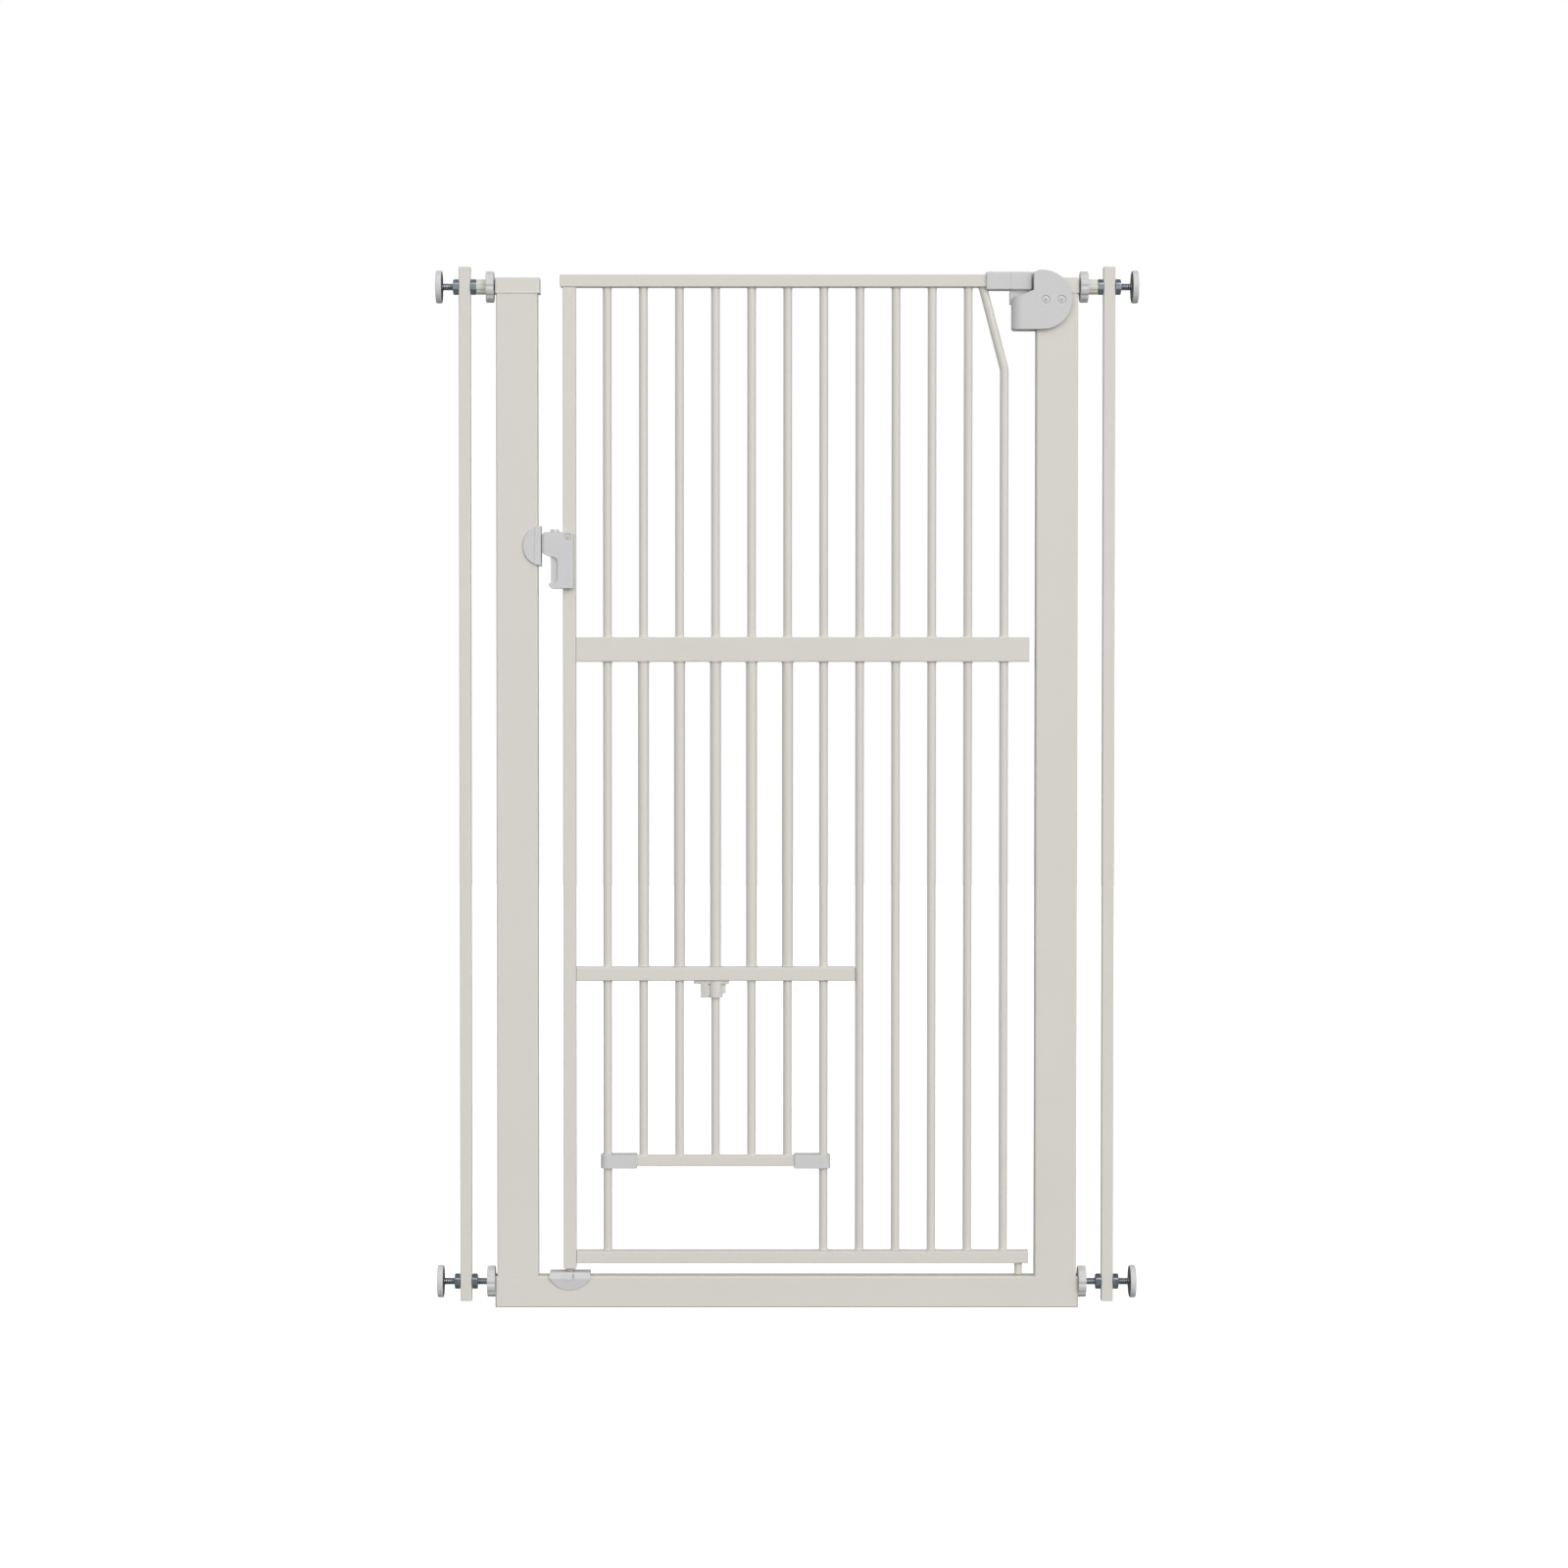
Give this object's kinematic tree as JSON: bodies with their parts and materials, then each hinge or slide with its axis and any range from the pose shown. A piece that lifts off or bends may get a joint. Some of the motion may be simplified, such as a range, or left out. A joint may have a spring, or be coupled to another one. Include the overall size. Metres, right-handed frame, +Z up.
{
  "type": "pet gate",
  "caption": "Tall pressure-fit pet gate with a lift-and-swing barred door, a small lift-up pet door, latch and hand-wheel wall spindles.",
  "frame": {"origin": "on the floor, midway between the two walls, at the centre of the floor rail's underside", "axes": "+X to the right seen from the front, with the hinge on the left; +Y away from the viewer, the way the door opens; +Z up"},
  "size_m": [0.81, 0.0374, 1.204],
  "materials": {
    "enamel": "warm off-white powder coat, satin",
    "plastic": "light grey moulded plastic, fine satin grain",
    "lock_plastic": "off-white moulded plastic, satin",
    "sleeve_plastic": "cream translucent-looking moulded plastic",
    "pad_rubber": "light grey soft plastic, matt",
    "zinc": "bright zinc plate with a blue cast"
  },
  "bodies": {
    "frame": {"floor_rail": "enamel", "left_post": "enamel", "right_post": "enamel", "left_post_cap": "enamel", "right_post_cap": "enamel", "left_rail_plug": "plastic", "right_rail_plug": "plastic", "latch_housing_front": "plastic", "latch_housing_back": "plastic", "upper_saddle": "plastic", "hinge_block": "plastic", "hinge_pin": "plastic", "lower_saddle": "plastic"},
    "hinge_bush": {"hinge_bush": "plastic"},
    "door": {"stile": "enamel", "top_rail": "enamel", "mid_rail": "enamel", "lintel": "enamel", "low_rail": "enamel", "bar_01": "enamel", "bar_02": "enamel", "bar_03": "enamel", "bar_04": "enamel", "bar_05": "enamel", "bar_06": "enamel", "bar_07": "enamel", "bar_08": "enamel", "bar_09": "enamel", "bar_10": "enamel", "bar_11": "enamel", "bar_12": "enamel", "stop_pin": "enamel", "foot_pivot": "plastic", "handle_end": "plastic", "pet_lock_body": "lock_plastic"},
    "handle_slider": {"handle_slider": "plastic"},
    "pet_door": {"pet_grille": "enamel", "pet_clip_left": "plastic", "pet_clip_right": "plastic"},
    "pet_lock_button": {"pet_lock_button": "lock_plastic"},
    "left_extension": {"side_bar_left": "enamel", "sleeve_left_top": "sleeve_plastic", "rod_left_bottom": "zinc", "nut_left_bottom": "zinc", "pad_left_bottom": "pad_rubber", "rod_left_top": "zinc", "nut_left_top": "zinc", "pad_left_top": "pad_rubber"},
    "right_extension": {"side_bar_right": "enamel", "sleeve_right_top": "sleeve_plastic", "rod_right_bottom": "zinc", "nut_right_bottom": "zinc", "pad_right_bottom": "pad_rubber", "rod_right_top": "zinc", "nut_right_top": "zinc", "pad_right_top": "pad_rubber"},
    "hand_wheel_left_bottom": {"hand_wheel_left_bottom": "plastic"},
    "hand_wheel_left_top": {"hand_wheel_left_top": "plastic"},
    "hand_wheel_right_bottom": {"hand_wheel_right_bottom": "plastic"},
    "hand_wheel_right_top": {"hand_wheel_right_top": "plastic"}
  },
  "joints": [
    {"name": "door_swing", "type": "hinge", "parent": "frame", "child": "hinge_bush", "pos_m": [-0.2513, 0, 0], "axis": [0, 0, 1], "range_deg": [0, 90]},
    {"name": "door_lift", "type": "slide", "parent": "hinge_bush", "child": "door", "axis": [0, 0, 1], "range_m": [0, 0.012]},
    {"name": "slider_push", "type": "slide", "parent": "door", "child": "handle_slider", "axis": [-1, 0, 0], "range_m": [0, 0.006], "stiffness_N_per_m": 300, "springref_m": -0.004},
    {"name": "pet_door_lift", "type": "slide", "parent": "door", "child": "pet_door", "axis": [0, 0, 1], "range_m": [-0.094, 0.175]},
    {"name": "lock_button_push", "type": "slide", "parent": "door", "child": "pet_lock_button", "axis": [1, 0, 0], "range_m": [0, 0.0025], "stiffness_N_per_m": 400, "springref_m": -0.002},
    {"name": "left_top_wheel_turn", "type": "hinge", "parent": "frame", "child": "hand_wheel_left_top", "pos_m": [-0.3381, 0, 1.181], "axis": [1, 0, 0], "range_deg": [0, 2160]},
    {"name": "left_bottom_wheel_turn", "type": "hinge", "parent": "frame", "child": "hand_wheel_left_bottom", "pos_m": [-0.3381, 0, 0.029], "axis": [1, 0, 0], "range_deg": [0, 2160]},
    {"name": "left_extension_slide", "type": "slide", "parent": "frame", "child": "left_extension", "axis": [-1, 0, 0], "range_m": [0, 0.015]},
    {"name": "right_top_wheel_turn", "type": "hinge", "parent": "frame", "child": "hand_wheel_right_top", "pos_m": [0.3381, 0, 1.181], "axis": [-1, 0, 0], "range_deg": [0, 2160]},
    {"name": "right_bottom_wheel_turn", "type": "hinge", "parent": "frame", "child": "hand_wheel_right_bottom", "pos_m": [0.3381, 0, 0.029], "axis": [-1, 0, 0], "range_deg": [0, 2160]},
    {"name": "right_extension_slide", "type": "slide", "parent": "frame", "child": "right_extension", "axis": [1, 0, 0], "range_m": [0, 0.015]}
  ],
  "couplings": [
    {"joint": "left_top_wheel_turn", "follows": "left_extension_slide", "rad_per_m": 2513.3},
    {"joint": "left_bottom_wheel_turn", "follows": "left_extension_slide", "rad_per_m": 2513.3},
    {"joint": "right_top_wheel_turn", "follows": "right_extension_slide", "rad_per_m": 2513.3},
    {"joint": "right_bottom_wheel_turn", "follows": "right_extension_slide", "rad_per_m": 2513.3}
  ]
}
